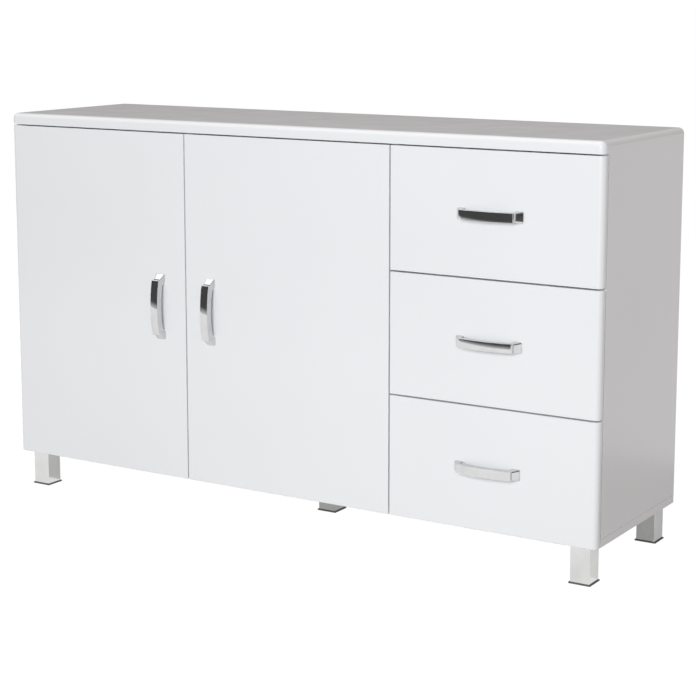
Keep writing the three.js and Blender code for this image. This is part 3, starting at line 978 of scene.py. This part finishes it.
# Feet of the dark sheets, a painted dark reflection of the room, in front of the fronts and beside them,
# from one end to the other
DARK_REFLECTIONS = (
    ("flag_front", (-2.4, -2.3), (1.1, -2.3)),
    ("flag_left", (-6.5, -0.4), (-2.4, -2.3)),
    ("flag_right", (2.1, -2.3), (6.0, -0.6)),
)


def glowing_paper(name, glow):
    """Grey paper, lit through from behind."""
    material, tree, shader = start_material(name)
    dark = tuple(0.97 * value for value in GREY)
    colour(tree, shader, tones(tree, grain(tree, 2.0), dark, GREY))
    shader.inputs["Roughness"].default_value = 0.9
    shader.inputs["Specular IOR Level"].default_value = 0.0
    shader.inputs["Emission Color"].default_value = (1.0, 1.0, 1.0, 1.0)
    shader.inputs["Emission Strength"].default_value = glow
    return material


def painted_shade_sheet(name, first, last, axis="Z", start=0.0, end=1.0):
    """Painted shade and light for reflections: a dark sheet whose glow goes from first to last between two
    places along an axis.
    """
    material, tree, shader = start_material(name)
    shader.inputs["Base Color"].default_value = (0.01, 0.01, 0.01, 1.0)
    shader.inputs["Specular IOR Level"].default_value = 0.0
    shader.inputs["Emission Strength"].default_value = 1.0
    where = tree.nodes.new("ShaderNodeTexCoord")
    split = tree.nodes.new("ShaderNodeSeparateXYZ")
    fall = tree.nodes.new("ShaderNodeMapRange")
    fall.interpolation_type = "SMOOTHERSTEP"
    fall.inputs["From Min"].default_value = start
    fall.inputs["From Max"].default_value = end
    fall.inputs["To Min"].default_value = first
    fall.inputs["To Max"].default_value = last
    tree.links.new(where.outputs["Object"], split.inputs["Vector"])
    tree.links.new(split.outputs[axis], fall.inputs["Value"])
    tree.links.new(fall.outputs["Result"], shader.inputs["Emission Color"])
    return material


def card(name, corners, material, gloss_only=False):
    """A sheet outside the object; glossy surfaces alone may show it."""
    bm = bmesh.new()
    bm.faces.new([bm.verts.new(corner) for corner in corners])
    mesh = mesh_from(name, bm)
    mesh.materials.append(material)
    obj = new_object(name, mesh)
    obj.visible_diffuse = False
    obj.visible_camera = not gloss_only
    obj.visible_shadow = not gloss_only


def standing_card(name, start, end, height, material, gloss_only=False):
    (x0, y0), (x1, y1) = start, end
    corners = [(x0, y0, 0), (x1, y1, 0), (x1, y1, height), (x0, y0, height)]
    card(name, corners, material, gloss_only)


def lying_card(name, near, far, height, material, gloss_only=False):
    (x0, y0), (x1, y1) = near, far
    corners = [(x0, y0, height), (x1, y0, height), (x1, y1, height), (x0, y1, height)]
    card(name, corners, material, gloss_only)


def make_backdrops():
    """Pale floor, and pale walls behind the object and to its left."""
    floor_paper = glowing_paper("floor_paper", 0.93)
    lying_card("floor", (-FLOOR_HALF, -FLOOR_HALF), (FLOOR_HALF, FLOOR_HALF), 0, floor_paper)
    wall_paper = glowing_paper("wall_paper", 1.0)
    standing_card("backdrop_rear", (-4.2, 15.0), (4.2, 15.0), BACKDROP_HEIGHT, wall_paper)
    standing_card("backdrop_left", (-15.0, -4.2), (-15.0, 4.2), BACKDROP_HEIGHT, wall_paper)


def make_reflected_cards():
    """What chrome and lacquer mirror, all painted reflections: dark sheets for the dark room, painted
    shadow on the floor under and beside the case, and a bright sheet overhead for painted highlights.
    """
    # Painted dark reflection of the room, which glossy surfaces alone show; painted light brightens it
    # towards the floor, below 0.24 m.
    dark_reflection_glow = painted_shade_sheet("dark_reflection_glow", first=0.55, last=0.075, end=0.24)
    for name, start, end in DARK_REFLECTIONS:
        standing_card(name, start, end, DARK_REFLECTION_HEIGHT, dark_reflection_glow, True)
    # Painted dark reflection behind the case and to its left, evenly dark.
    rear_dark_reflection_glow = painted_shade_sheet("rear_dark_reflection_glow", first=0.12, last=0.12)
    standing_card("flag_rear", (-7.0, 3.2), (-0.9, 6.5), REAR_DARK_REFLECTION_HEIGHT, rear_dark_reflection_glow, True)
    # Painted shadow of the case on the floor beneath it, which only the legs' reflections show; darker
    # towards the right.
    left, right = bottom_low.x, bottom_high.x
    front, rear = bottom_low.y + 0.05, bottom_high.y - SHADE_INSET
    near, far = (left + SHADE_INSET, front), (right - SHADE_INSET, rear)
    painted_shadow_under = painted_shade_sheet("painted_shadow_under", first=0.62, last=0.42, axis="X", start=left, end=right * 0.6)
    lying_card("shade_under", near, far, SHADE_LIFT, painted_shadow_under, True)
    # Painted shadow on the floor to the right of the case, which only reflections show; darker towards the
    # rear.
    near, far = (right - SHADE_INSET, front), (right + 0.5, rear + 0.6)
    painted_shadow_beside = painted_shade_sheet("painted_shadow_beside", first=0.88, last=0.6, axis="Y", start=0.0, end=rear)
    lying_card("shade_beside", near, far, SHADE_LIFT, painted_shadow_beside, True)
    # A bright glowing sheet overhead, no lamp, which only reflections show: painted highlights along the
    # handles' upper edges and the top's rounded front edge.
    ceiling_highlight_glow = glowing_paper("ceiling_highlight_glow", 1.5)
    lying_card("ceiling", (-3.4, -2.2), (0.6, 0.3), CEILING_HEIGHT, ceiling_highlight_glow, True)


def area_light(name, location, target, size, power, tint):
    """A soft box that faces its target and is not seen itself."""
    data = bpy.data.lights.new(name, "AREA")
    data.shape = "RECTANGLE"
    data.size, data.size_y = size
    data.energy = power
    data.color = tint
    light = bpy.data.objects.new(name, data)
    light.location = location
    light.rotation_euler = (Vector(target) - Vector(location)).to_track_quat("-Z", "Y").to_euler()
    light.visible_camera = False
    scene.collection.objects.link(light)


def make_lights():
    """Even room light, a cool soft box in front and a warm one overhead."""
    world = bpy.data.worlds.new("studio_room")
    world.use_nodes = True
    room = world.node_tree.nodes["Background"]
    room.inputs["Color"].default_value = (1.0, 0.945, 0.94, 1.0)
    room.inputs["Strength"].default_value = 0.42
    scene.world = world
    scene.view_settings.view_transform = "Standard"
    area_light("key", location=(1.0, -4.2, 1.7), target=(0.2, 0.0, 0.4), size=(1.6, 1.4),
               power=116.0, tint=(0.912, 0.967, 1.0))
    area_light("overhead", location=(0.0, 0.5, 3.6), target=(0.0, 0.5, 0.4), size=(2.6, 1.0),
               power=16.5, tint=(1.0, 0.965, 0.945))


# ---------------------------------------------------------------- the whole
make_camera()
make_backdrops()
make_reflected_cards()
make_lights()
make_case()
for door_side in SIDES:
    make_door(door_side)
    make_handle(f"door_{door_side}", True)
    make_hinges(door_side)
for drawer_level in LEVELS:
    make_drawer(drawer_level)
    make_handle(f"drawer_{drawer_level}", False)
    make_runners(drawer_level)
make_legs()
make_fittings()
